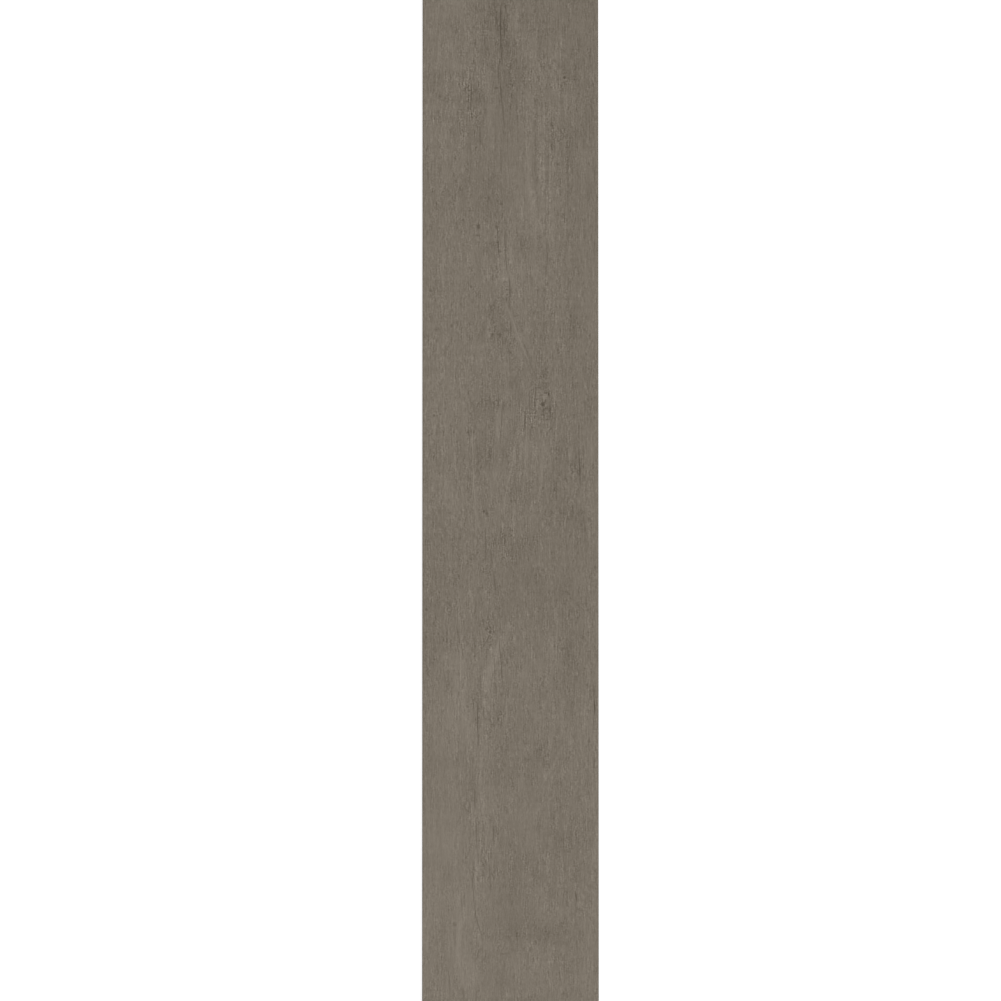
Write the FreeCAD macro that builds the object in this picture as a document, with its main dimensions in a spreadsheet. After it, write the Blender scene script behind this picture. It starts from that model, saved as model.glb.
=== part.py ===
import FreeCAD, Part
import enum
import math
import os

import Sketcher

# A wood look porcelain plank tile, one fired piece, in millimetres.
# It lies on its back: X runs across the plank, Y runs along it and Z rises out of its glazed face.
# The origin is the middle of the bedding plane, the plane that the ribs of the back stand on.
# The glazed face is flat here, and its fine wood grain relief is left to the looks.

NODE = "plank_tile"
STEP_FOLDER = "parts"

DRIVING_SIZES = {
    # The slab, pressed, fired and then ground square.
    "tile_length": 1200,
    "tile_width": 200,
    "tile_thickness": 9.5,
    # The small bevel ground along the four edges of the glazed face, measured along each face.
    "arris": 0.8,
    # The sunk squares that the press leaves in the back, for the adhesive to key into.
    "key_width": 26,
    "key_length": 26,
    "key_depth": 0.6,
    # The slope of a sunk square's walls, in degrees off upright, so that the press lets go.
    "key_draft": 45,
    # The ribs between the sunk squares, and the least plain border round all of them.
    "rib_width": 4,
    "least_border": 10,
}

PITCH_ACROSS = "(Sizes.key_width + Sizes.rib_width)"
PITCH_ALONG = "(Sizes.key_length + Sizes.rib_width)"
KEYS_ACROSS = f"floor((Sizes.tile_width - 2 * Sizes.least_border + Sizes.rib_width) / {PITCH_ACROSS})"
KEYS_ALONG = f"floor((Sizes.tile_length - 2 * Sizes.least_border + Sizes.rib_width) / {PITCH_ALONG})"
# From the origin to the outermost wall of the field of sunk squares, which is centred on the tile.
FIELD_HALF_WIDTH = f"({KEYS_ACROSS} * {PITCH_ACROSS} - Sizes.rib_width) / 2"
FIELD_HALF_LENGTH = f"({KEYS_ALONG} * {PITCH_ALONG} - Sizes.rib_width) / 2"

# The most that a length in millimetres, or a share of a volume, may be off.
LENGTH_TOLERANCE = 1e-4
VOLUME_SHARE = 1e-3


class LineEnd(enum.IntEnum):
    """How a constraint names the two ends of a sketched line."""

    START = 1
    FINISH = 2


class SketchAxis(enum.IntEnum):
    """How a constraint names a sketch's own horizontal axis, which starts at the sketch's origin."""

    HORIZONTAL = -1


SKETCH_ORIGIN = (SketchAxis.HORIZONTAL, LineEnd.START)


def fill_sheet(doc):
    """Writes each driving size to a row of its own: its name, then its value under an alias."""
    sheet = doc.addObject("Spreadsheet::Sheet", "Sizes")
    for row, (name, value) in enumerate(DRIVING_SIZES.items(), start=1):
        sheet.set(f"A{row}", name)
        sheet.set(f"B{row}", str(value))
        sheet.setAlias(f"B{row}", name)
    doc.recompute()
    return sheet


def bedding_plane(body):
    """The body's own XY plane, on which the tile lies."""
    return next(plane for plane in body.Origin.OriginFeatures if plane.Role == "XY_Plane")


def sketch_rectangle(body, name, low, high):
    """A sketch on the bedding plane that holds one rectangle, drawn from its low corner to its high one."""
    sketch = body.newObject("Sketcher::SketchObject", name)
    sketch.AttachmentSupport = [(bedding_plane(body), "")]
    sketch.MapMode = "FlatFace"
    corners = [
        FreeCAD.Vector(low[0], low[1]),
        FreeCAD.Vector(high[0], low[1]),
        FreeCAD.Vector(high[0], high[1]),
        FreeCAD.Vector(low[0], high[1]),
    ]
    sides = [
        sketch.addGeometry(Part.LineSegment(start, end))
        for start, end in zip(corners, corners[1:] + corners[:1])
    ]
    for side, following in zip(sides, sides[1:] + sides[:1]):
        joint = (side, LineEnd.FINISH, following, LineEnd.START)
        sketch.addConstraint(Sketcher.Constraint("Coincident", *joint))
    for side, direction in zip(sides, ("Horizontal", "Vertical", "Horizontal", "Vertical")):
        sketch.addConstraint(Sketcher.Constraint(direction, side))
    return sketch, sides


def bind_distance(sketch, kind, first, second, value, expression):
    """Adds a distance from one point of the sketch to another and ties it to the sheet."""
    index = sketch.addConstraint(Sketcher.Constraint(kind, *first, *second, value))
    sketch.setExpression(f"Constraints[{index}]", expression)


def bind_rectangle(sketch, sides, width, length, across, along):
    """Ties a rectangle's two sizes to the sheet, from the values that it was drawn with."""
    near, right, _, _ = sides
    for kind, side, value, expression in (
        ("DistanceX", near, width, across),
        ("DistanceY", right, length, along),
    ):
        bind_distance(sketch, kind, (side, LineEnd.START), (side, LineEnd.FINISH), value, expression)


def add_slab(doc, body):
    """The whole slab, centred on the origin and standing up from the bedding plane."""
    width = DRIVING_SIZES["tile_width"]
    length = DRIVING_SIZES["tile_length"]
    corner = (width / 2, length / 2)
    outline, sides = sketch_rectangle(body, "SlabOutline", (-corner[0], -corner[1]), corner)
    near, _, far, _ = sides
    opposite_corners = (near, LineEnd.START, far, LineEnd.START)
    outline.addConstraint(Sketcher.Constraint("Symmetric", *opposite_corners, *SKETCH_ORIGIN))
    bind_rectangle(outline, sides, width, length, "Sizes.tile_width", "Sizes.tile_length")
    slab = body.newObject("PartDesign::Pad", "Slab")
    slab.Profile = outline
    slab.setExpression("Length", "Sizes.tile_thickness")
    doc.recompute()
    return slab


def add_arris(doc, body, slab):
    """The bevel along the four edges of the glazed face."""
    top = slab.Shape.BoundBox.ZMax
    face_edges = [
        f"Edge{number}"
        for number, edge in enumerate(slab.Shape.Edges, start=1)
        if edge.BoundBox.ZMin > top - LENGTH_TOLERANCE
    ]
    arris = body.newObject("PartDesign::Chamfer", "Arris")
    arris.Base = (slab, face_edges)
    arris.setExpression("Size", "Sizes.arris")
    doc.recompute()
    return arris


def add_key(doc, body):
    """The first sunk square of the back, at the field's low corner, with walls that slope inward."""
    width = DRIVING_SIZES["key_width"]
    length = DRIVING_SIZES["key_length"]
    low = (-DRIVING_SIZES["tile_width"] / 2, -DRIVING_SIZES["tile_length"] / 2)
    outline, sides = sketch_rectangle(body, "KeyOutline", low, (low[0] + width, low[1] + length))
    bind_rectangle(outline, sides, width, length, "Sizes.key_width", "Sizes.key_length")
    low_corner = (sides[0], LineEnd.START)
    bind_distance(outline, "DistanceX", low_corner, SKETCH_ORIGIN, -low[0], FIELD_HALF_WIDTH)
    bind_distance(outline, "DistanceY", low_corner, SKETCH_ORIGIN, -low[1], FIELD_HALF_LENGTH)
    key = body.newObject("PartDesign::Pocket", "Key")
    key.Profile = outline
    key.Reversed = True
    key.setExpression("Length", "Sizes.key_depth")
    key.setExpression("TaperAngle", "-Sizes.key_draft")
    doc.recompute()
    return key, outline


def add_key_field(doc, body, key, outline):
    """Repeats the first sunk square over the whole back, which leaves a lattice of ribs between."""
    field = body.newObject("PartDesign::LinearPattern", "KeyField")
    field.Originals = [key]
    # The copies don't meet, so there are no faces to merge.
    field.Refine = False
    field.Direction = (outline, ["H_Axis"])
    field.Mode = "Extent"
    field.setExpression("Length", f"({KEYS_ACROSS} - 1) * {PITCH_ACROSS}")
    field.setExpression("Occurrences", KEYS_ACROSS)
    field.Direction2 = (outline, ["V_Axis"])
    field.Mode2 = "Extent"
    field.setExpression("Length2", f"({KEYS_ALONG} - 1) * {PITCH_ALONG}")
    field.setExpression("Occurrences2", KEYS_ALONG)
    body.Tip = field
    doc.recompute()
    return field


def check_features(doc):
    """Stops if a feature failed, because a recompute doesn't raise."""
    for item in doc.Objects:
        if "Invalid" in item.State or "Error" in item.State:
            raise RuntimeError(f"{item.Name} failed: {item.State}")


def check_tile(sheet, tile):
    """Stops if the tile isn't one valid solid of its stated size."""
    shape = tile.Shape
    if shape.isNull() or not shape.isValid() or len(shape.Solids) != 1:
        raise RuntimeError("the tile isn't one valid solid")
    spans = (shape.BoundBox.XLength, shape.BoundBox.YLength, shape.BoundBox.ZLength)
    stated = (sheet.tile_width, sheet.tile_length, sheet.tile_thickness)
    if any(abs(span - size) > LENGTH_TOLERANCE for span, size in zip(spans, stated)):
        raise RuntimeError(f"the tile measures {spans} and not {stated}")


def check_keys(sheet, arris, key, field):
    """Stops if the first sunk square cut anything but its own frustum, or a copy of it is missing."""
    inset = 2 * sheet.key_depth * math.tan(math.radians(sheet.key_draft))
    mouth = sheet.key_width * sheet.key_length
    bed = (sheet.key_width - inset) * (sheet.key_length - inset)
    frustum = sheet.key_depth * (mouth + bed + math.sqrt(mouth * bed)) / 3
    first = arris.Shape.Volume - key.Shape.Volume
    if abs(first - frustum) > VOLUME_SHARE * frustum:
        raise RuntimeError(f"the first sunk square took {first} mm3 and not {frustum}")
    every = arris.Shape.Volume - field.Shape.Volume
    count = field.Occurrences * field.Occurrences2
    if abs(every - count * first) > VOLUME_SHARE * every:
        raise RuntimeError(f"{count} sunk squares took {every} mm3 and not {count * first}")


def main():
    doc = FreeCAD.newDocument("PlankTile")
    sheet = fill_sheet(doc)
    tile = doc.addObject("PartDesign::Body", "PlankTile")
    tile.Label = NODE
    slab = add_slab(doc, tile)
    arris = add_arris(doc, tile, slab)
    key, outline = add_key(doc, tile)
    field = add_key_field(doc, tile, key, outline)
    check_features(doc)
    check_tile(sheet, tile)
    check_keys(sheet, arris, key, field)
    os.makedirs(STEP_FOLDER, exist_ok=True)
    tile.Shape.exportStep(os.path.join(STEP_FOLDER, f"{tile.Label}.step"))


main()
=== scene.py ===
import math

import bmesh
import bpy
import numpy as np
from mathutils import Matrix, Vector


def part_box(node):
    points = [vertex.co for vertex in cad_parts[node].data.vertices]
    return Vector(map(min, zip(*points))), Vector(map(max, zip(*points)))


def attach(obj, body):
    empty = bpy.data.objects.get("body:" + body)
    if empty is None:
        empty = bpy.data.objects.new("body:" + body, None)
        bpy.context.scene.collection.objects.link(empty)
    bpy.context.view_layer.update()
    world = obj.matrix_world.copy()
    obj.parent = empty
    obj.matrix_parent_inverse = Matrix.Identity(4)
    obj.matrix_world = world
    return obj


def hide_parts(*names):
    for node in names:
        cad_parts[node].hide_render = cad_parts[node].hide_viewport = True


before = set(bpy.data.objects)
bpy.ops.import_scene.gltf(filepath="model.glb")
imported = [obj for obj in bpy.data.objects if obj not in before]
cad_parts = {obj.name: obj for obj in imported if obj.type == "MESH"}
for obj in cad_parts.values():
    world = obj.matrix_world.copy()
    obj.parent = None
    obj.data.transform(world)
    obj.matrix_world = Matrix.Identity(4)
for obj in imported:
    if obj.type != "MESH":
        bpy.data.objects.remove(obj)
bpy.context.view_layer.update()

# A wood look porcelain plank tile: the relief of its face, its print and its bare fired body.
# Lengths along the mesh are in metres, and those of the grain are in millimetres unless a name says otherwise.

NODE = "plank_tile"
MM = 0.001

low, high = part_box(NODE)
HALF_WIDTH = (high.x - low.x) / 2 / MM
HALF_LENGTH = (high.y - low.y) / 2 / MM
THICKNESS = (high.z - low.z) / MM

# The photograph, in its own pixels, counted from its left and top edges: where the plank's middle line runs, and
# how wide the plank is.
PHOTO_PX = 1001
PHOTO_MIDDLE = PHOTO_PX / 2
PLANK_MIDDLE_PX = 510.44
PLANK_WIDTH_PX = 176.3
MM_PER_PX = 2 * HALF_WIDTH / PLANK_WIDTH_PX

# The camera stands over the plank with a long lens, a touch towards its near end.
LENS = 100.0
SENSOR = 36.0
CAMERA_LEAN = math.radians(0.9)
CAMERA_DISTANCE = PHOTO_PX * MM_PER_PX * LENS / SENSOR

# The relief grid of the face: how many cells it has across and along the plank.
CELLS_ACROSS = 330
CELLS_ALONG = 284

# Brightness, in levels of 255, that the print may depart from its mean colour.
TONE_REACH = 40.0
FACE_COLOUR = (114, 105.3, 93)
BODY_COLOUR = (108, 100, 90)
# How many levels paler than the middle the near end is, and darker the far end.
END_TONE = 2.9


def to_linear(level):
    """A channel's linear value, from its level out of 255."""
    share = level / 255
    return share / 12.92 if share <= 0.04045 else ((share + 0.055) / 1.055) ** 2.4


def colour(levels, change=0.0):
    """A linear colour with alpha, from levels out of 255, each changed by as many levels."""
    return tuple(to_linear(max(level + change, 0)) for level in levels) + (1.0,)


def across(px):
    """Millimetres from the plank's middle line, from a column of the photograph."""
    return (px - PLANK_MIDDLE_PX) * MM_PER_PX


def along(px):
    """Millimetres from the plank's middle, towards its far end, from a row of the photograph, seen with its lean."""
    seen = (PHOTO_MIDDLE - px) * MM_PER_PX
    return seen * CAMERA_DISTANCE / (CAMERA_DISTANCE * math.cos(CAMERA_LEAN) - seen * math.sin(CAMERA_LEAN))


# Lines of the grain, as read off the photograph: the levels that each adds at its middle, its half width in
# millimetres, and the pixels it runs through. Cracks are dark and sharp, and streaks are wider and pale.
LINES = [
    # The long crack at the far end, with its splinters.
    (-13, 0.6, [(494.2, -20), (494.4, 2), (494.7, 12), (495.8, 21)]),
    (-12, 0.7, [(496.4, 15), (497.2, 25)]),
    (-25, 0.7, [(500.3, 8), (500.5, 22), (500.8, 37)]),
    (-18, 0.65, [(501, 37), (501.1, 46), (501.6, 56), (502.3, 65)]),
    (-6, 1.4, [(498.4, 10), (498.8, 36)]),
    (-18, 0.8, [(504, 19), (504.1, 37)]),
    (-4, 2.4, [(505.8, 6), (506, 24)]),
    (-10, 0.7, [(498.3, 63), (498.9, 80)]),
    (-22, 0.65, [(500.3, 84), (500.8, 95)]),
    (-11, 0.7, [(500.9, 94), (501.8, 104), (503.3, 116), (504.5, 128)]),
    (-8, 0.7, [(501, 148), (501.2, 168)]),
    (-16, 0.8, [(471.4, 86), (471, 96), (470.4, 107)]),
    (-12, 0.65, [(479.9, 130), (480.5, 144)]),
    (-11, 0.65, [(484.3, 35), (484.9, 46)]),
    (-5, 0.7, [(486.7, 44), (487.2, 84)]),
    (-5, 0.7, [(495, 118), (495.7, 148)]),
    (-12, 0.8, [(427.6, 168), (427.9, 181)]),
    # Pale streaks of the far end.
    (5, 3.2, [(486.8, 58), (487.6, 90), (489.4, 120), (492.6, 150)]),
    (3, 1.8, [(500, 118), (500.6, 148)]),
    (4, 1.8, [(516, 4), (516.6, 38)]),
    (4, 1.4, [(452.6, 44), (454.6, 90)]),
    (2.5, 3.0, [(527, 86), (527.4, 140)]),
    (5, 3.2, [(527.6, 146), (529, 180), (531.6, 205), (536.6, 238)]),
    (-4, 1.5, [(535, 60), (535, 120), (535.2, 160), (536.2, 192)]),
    (4, 2.2, [(539.6, 128), (540, 180), (541, 228)]),
    (-7, 0.7, [(545.8, 104), (546, 150), (545.6, 200), (545.8, 234)]),
    (-7, 0.7, [(547.8, 120), (548.3, 180), (548.2, 234)]),
    (4, 1.2, [(543.8, 140), (543.8, 200)]),
    (5, 1.2, [(550.4, 146), (550, 200), (549.6, 236)]),
    (6, 1.0, [(561.3, 24), (560.7, 60), (558.9, 95), (557.5, 124)]),
    (4, 2.6, [(556.5, 36), (555, 74), (552.4, 118)]),
    (6, 0.8, [(556.4, 152), (553, 162), (552.6, 186)]),
    (-7, 0.9, [(568.8, 142), (568.4, 158), (567.8, 176), (568.3, 202)]),
    (6, 1.6, [(564.5, 140), (564.5, 198)]),
    (4, 1.1, [(517, 199), (511.8, 205), (509, 216), (507.2, 228)]),
    (9, 1.0, [(518, 199), (521.6, 208), (522.8, 220)]),
    (-13, 0.8, [(546.8, 241), (547.3, 263)]),
    (6, 0.9, [(547.2, 234), (550.1, 245), (552.1, 263)]),
    (-10, 0.8, [(596, 210), (596.1, 233)]),
    (-6, 0.8, [(594.2, 240), (594.5, 254)]),
    # Cracks and streaks down to the first arch.
    (-13, 0.6, [(497.3, 226), (497.6, 241)]),
    (-22, 0.65, [(497.8, 241), (498.1, 248), (498.8, 257)]),
    (-18, 0.6, [(504.8, 232), (505.2, 250), (505.8, 262), (506.9, 273)]),
    (-20, 0.6, [(509.2, 277), (509.8, 287), (509.6, 298)]),
    (6, 2.4, [(502.4, 242), (502.6, 260), (503, 282)]),
    (3, 1.8, [(509.9, 244), (511.3, 260), (514.3, 276), (519.9, 298)]),
    (3, 2.6, [(515, 284), (519, 297), (525, 311), (527.4, 328), (529.4, 344)]),
    (-5, 1.8, [(505.6, 299), (510.6, 306), (515.6, 318)]),
    (-19, 0.8, [(510.6, 324), (510.8, 336)]),
    (-11, 0.6, [(508.9, 350), (509.9, 374)]),
    (6, 1.3, [(506.4, 306), (509.8, 313), (512.4, 320)]),
    (9, 0.9, [(512.2, 319), (514.6, 326), (520, 341), (528, 360)]),
    (-10, 0.6, [(522.6, 341), (525.6, 348), (529, 357)]),
    (-7, 0.6, [(529.4, 361), (533.6, 372), (539.8, 384)]),
    (-6, 0.6, [(526, 360), (531, 373)]),
    (-5, 2.0, [(495.6, 301), (490.4, 311), (485.6, 324), (481.6, 340)]),
    (3, 1.5, [(489, 319), (487, 332), (485.6, 346)]),
    (2, 2.0, [(487.4, 228), (486.2, 250), (484.2, 276)]),
    # Round the knots.
    (-20, 0.6, [(535.5, 388.4), (535.1, 396), (534.3, 407)]),
    (-12, 0.6, [(529.4, 391), (529.4, 411)]),
    (-15, 0.65, [(549.7, 403), (550.2, 412), (550, 419)]),
    (-21, 0.65, [(525.4, 410), (525.2, 419), (524.6, 425)]),
    (-14, 0.65, [(524.3, 424), (523.7, 434)]),
    (-13, 0.8, [(530.2, 428), (530, 440)]),
    (-15, 0.6, [(501.8, 410), (501.5, 420), (501, 430), (500.4, 437)]),
    (6, 2.0, [(497.8, 408), (497, 424), (497, 440)]),
    (-18, 0.9, [(498.1, 398), (498.4, 406)]),
    (-9, 0.8, [(490.3, 400), (491, 408)]),
    (-14, 0.8, [(502.9, 402), (503.1, 411)]),
    (-12, 0.7, [(578.8, 422), (579.1, 440)]),
    (-14, 0.6, [(578.7, 448), (579.2, 462), (579.8, 473)]),
    (-23, 0.65, [(579.9, 470), (580.2, 482)]),
    (-10, 0.65, [(516, 450), (516.4, 461)]),
    # Long stripes below them.
    (11, 0.7, [(472, 428), (472.4, 445), (472.9, 460), (473.6, 480), (474.6, 500)]),
    (7, 2.2, [(474.8, 498), (476, 514), (477.6, 530)]),
    (-5, 2.8, [(489.2, 448), (490.1, 472)]),
    (8.5, 1.0, [(514, 449), (513.2, 462), (510.8, 472), (507.4, 483), (505.4, 497), (504.2, 512)]),
    (-6, 0.9, [(518.6, 444), (517.6, 462), (514.6, 480), (510.6, 500)]),
    (5, 1.2, [(521.8, 440), (521, 460), (519.6, 480)]),
    (-4, 0.9, [(523.6, 452), (522.6, 470), (520.6, 490)]),
    (3, 1.0, [(525.7, 444), (525.1, 466), (523.7, 492)]),
    (6, 1.0, [(537.2, 444), (536, 464)]),
    (-8, 0.7, [(538.8, 455), (538.9, 465)]),
    (6, 1.6, [(541.6, 462), (540.9, 480), (539.8, 498)]),
    (3, 1.4, [(539.8, 498), (540.6, 516)]),
    (-6, 0.8, [(543.6, 483), (544.2, 498)]),
    (-3, 0.8, [(556.3, 476), (556.5, 500)]),
    (11, 1.0, [(514, 504), (513.4, 516), (513.8, 530)]),
    (4, 1.2, [(531.5, 500), (531.6, 512)]),
    (-6, 1.2, [(584.6, 519), (585.3, 546)]),
    (4, 2.4, [(590, 512), (590.4, 548)]),
    (-12, 0.6, [(485.3, 530), (485.4, 545), (485.7, 557)]),
    (-11, 0.8, [(490.9, 552), (491.7, 564)]),
    (15, 1.0, [(493.5, 558), (494.1, 569)]),
    (-15, 0.65, [(493.6, 573), (494.6, 582), (496.1, 592)]),
    (-6, 1.1, [(503, 531), (504.8, 545)]),
    (19, 0.8, [(502.2, 523), (502.6, 533)]),
    (-8, 0.9, [(511.3, 541), (512.9, 556)]),
    (-12, 1.2, [(427.6, 540), (427.8, 551)]),
    (6, 1.3, [(468, 572), (469.8, 588), (472.2, 604)]),
    (4, 1.2, [(457.6, 582), (458.8, 610), (461, 642)]),
    (-9, 0.7, [(456.5, 626), (458, 634), (459.7, 643)]),
    # The second set of cracks, and the pale sweep that curves away from them.
    (-14, 0.7, [(489.7, 634.6), (487, 640), (484.4, 644.6), (482, 648.6)]),
    (-19, 0.65, [(499.2, 641), (500, 650), (500.7, 659)]),
    (-16, 0.6, [(501.6, 662), (501.8, 681)]),
    (-9, 0.9, [(474.4, 639), (474.9, 657)]),
    (-8, 0.65, [(479.6, 668), (480, 684), (480.7, 699)]),
    (-7, 0.65, [(494.2, 655), (494.6, 678)]),
    (-5, 0.8, [(495, 682), (495.4, 695)]),
    (7, 5.5, [(508, 628), (501, 641), (493.6, 655), (488.4, 672), (486, 702)]),
    (4, 2.4, [(486, 702), (482, 740), (481, 780), (484, 816)]),
    (3, 2.4, [(461, 655), (462, 688), (465, 718), (470.6, 750)]),
    (7, 1.5, [(511.8, 684), (508.2, 705), (504.2, 730)]),
    (-20, 0.6, [(477.6, 703), (477.7, 725), (477.9, 746)]),
    (-14, 0.8, [(483.6, 706), (483.8, 720)]),
    (-6, 0.8, [(490, 712), (490.3, 725)]),
    (-3, 1.6, [(567.6, 650), (568.6, 675), (567.2, 700)]),
    (-15, 0.7, [(593.5, 686), (593.9, 699)]),
    (-33, 0.75, [(594.3, 701), (594.6, 708), (594.3, 714)]),
    (-10, 0.7, [(593.6, 716), (592.5, 731)]),
    (-17, 0.7, [(593.6, 757), (593.8, 768)]),
    (5, 1.7, [(561, 750), (551, 770), (541, 786)]),
    (5, 1.7, [(556, 794), (542, 806), (528, 822)]),
    # The long line that winds down to the near end.
    (-15, 0.8, [(474.7, 789), (475.1, 809)]),
    (-22, 0.8, [(469.5, 802), (469.8, 809)]),
    (-16, 0.65, [(475.6, 818), (476.2, 832), (477, 847)]),
    (-9, 0.6, [(477.4, 847), (478.4, 866)]),
    (-11, 0.65, [(472.6, 868), (472.7, 888)]),
    (-10, 0.6, [(473.1, 887), (474.4, 904), (475.8, 920)]),
    (-12, 0.65, [(476.8, 919), (478.6, 926), (481.1, 935)]),
    (6, 1.1, [(475, 850), (475.7, 870), (476, 890)]),
    (4, 0.7, [(478.5, 919), (480.5, 929)]),
    (-13, 0.65, [(493.3, 828), (493.6, 845)]),
    (-10, 0.9, [(489.2, 865), (490, 880), (490.9, 895)]),
    (-6, 0.7, [(494.2, 862), (494.7, 873)]),
    (-9, 0.7, [(461.4, 898), (461.7, 906)]),
    (-6, 0.7, [(461.8, 906), (462.5, 918)]),
    (-26, 1.0, [(575.4, 892), (575.8, 896), (576.4, 901)]),
    (-11, 0.7, [(575.6, 903), (575, 926)]),
    (-3, 0.7, [(576.5, 852), (576.3, 886)]),
    (6, 2.8, [(464, 912), (459, 932), (457, 954), (460, 972), (465.4, 992)]),
    (-13, 0.8, [(480.1, 949), (477.6, 956), (475.2, 961)]),
    (-8, 0.8, [(448.4, 971), (449.4, 982), (450.1, 994)]),
    (-13, 1.1, [(463, 989), (463.3, 999)]),
    (-6, 0.7, [(476.4, 989), (476.7, 1030)]),
]

# Spots and knots: the levels at the middle, the pixel it lies at, and its half sizes across and along in millimetres.
# The last value is the levels that the ring round it adds.
SPOTS = [
    (-26, (564.6, 77.6), (1.4, 1.6), 7),
    (-17, (496.2, 88), (2.6, 1.1), 0),
    (-13, (475.9, 90), (1.2, 1.6), 0),
    (-22, (478.4, 226.6), (1.7, 3.2), 3),
    (-14, (477.7, 235.4), (3.4, 0.8), 3),
    (-17, (470.9, 286.8), (1.1, 1.5), 3),
    (-15, (430.2, 290.4), (1.3, 1.4), 3),
    (-15, (451.4, 326), (1.5, 1.6), 3),
    (-9, (515.6, 316), (3.0, 0.9), 0),
    (-13, (499, 334.6), (3.4, 0.8), 0),
    (-15, (538.6, 387.8), (3.4, 0.8), 0),
    (-17, (545.4, 393), (1.9, 1.0), 2),
    (-19, (548.9, 394.6), (1.2, 1.5), 0),
    (-27, (542.3, 404.2), (2.2, 2.3), 0),
    (-18, (543.7, 410), (1.3, 2.2), 0),
    (-14, (547.8, 419.6), (2.4, 0.8), 0),
    (-22, (434.2, 415.4), (1.1, 1.3), 3),
    (-14, (437, 415.8), (1.0, 0.8), 0),
    (-22, (440.2, 414.2), (1.1, 1.2), 3),
    (-12, (469.9, 413.4), (1.3, 1.4), 0),
    (-9, (479, 405.2), (1.4, 1.3), 0),
    (-8, (480, 454), (1.3, 2.0), 0),
    (-8, (477, 471), (1.5, 1.8), 0),
    (-11, (555.8, 458.6), (1.2, 1.4), 0),
    (-22, (483.8, 511.4), (1.4, 1.6), 0),
    (-14, (487, 513.8), (1.6, 1.4), 0),
    (-9, (459.6, 538.6), (1.8, 1.4), 0),
    (-9, (578, 553), (1.6, 1.8), 0),
    (-18, (426.6, 609.6), (1.3, 1.5), 3),
    (-3, (493.6, 613), (1.5, 1.5), 5),
    (-13, (487.9, 617), (1.0, 1.4), 0),
    (-15, (483.9, 622), (1.0, 1.6), 0),
    (-16, (486, 629.6), (1.2, 1.5), 0),
    (-24, (490.3, 632), (1.6, 1.6), 0),
    (-14, (493.8, 631.8), (1.2, 1.2), 0),
    (-14, (546.9, 691.7), (1.1, 1.6), 2),
    (-12, (467, 706.4), (1.3, 1.4), 3),
    (-13, (588.6, 741), (1.1, 1.8), 2),
    (-12, (454.6, 924.4), (1.6, 2.2), 4),
    (-12, (553.6, 943.6), (1.5, 1.1), 0),
    (-12, (561.4, 922.9), (1.4, 1.4), 0),
]

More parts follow.
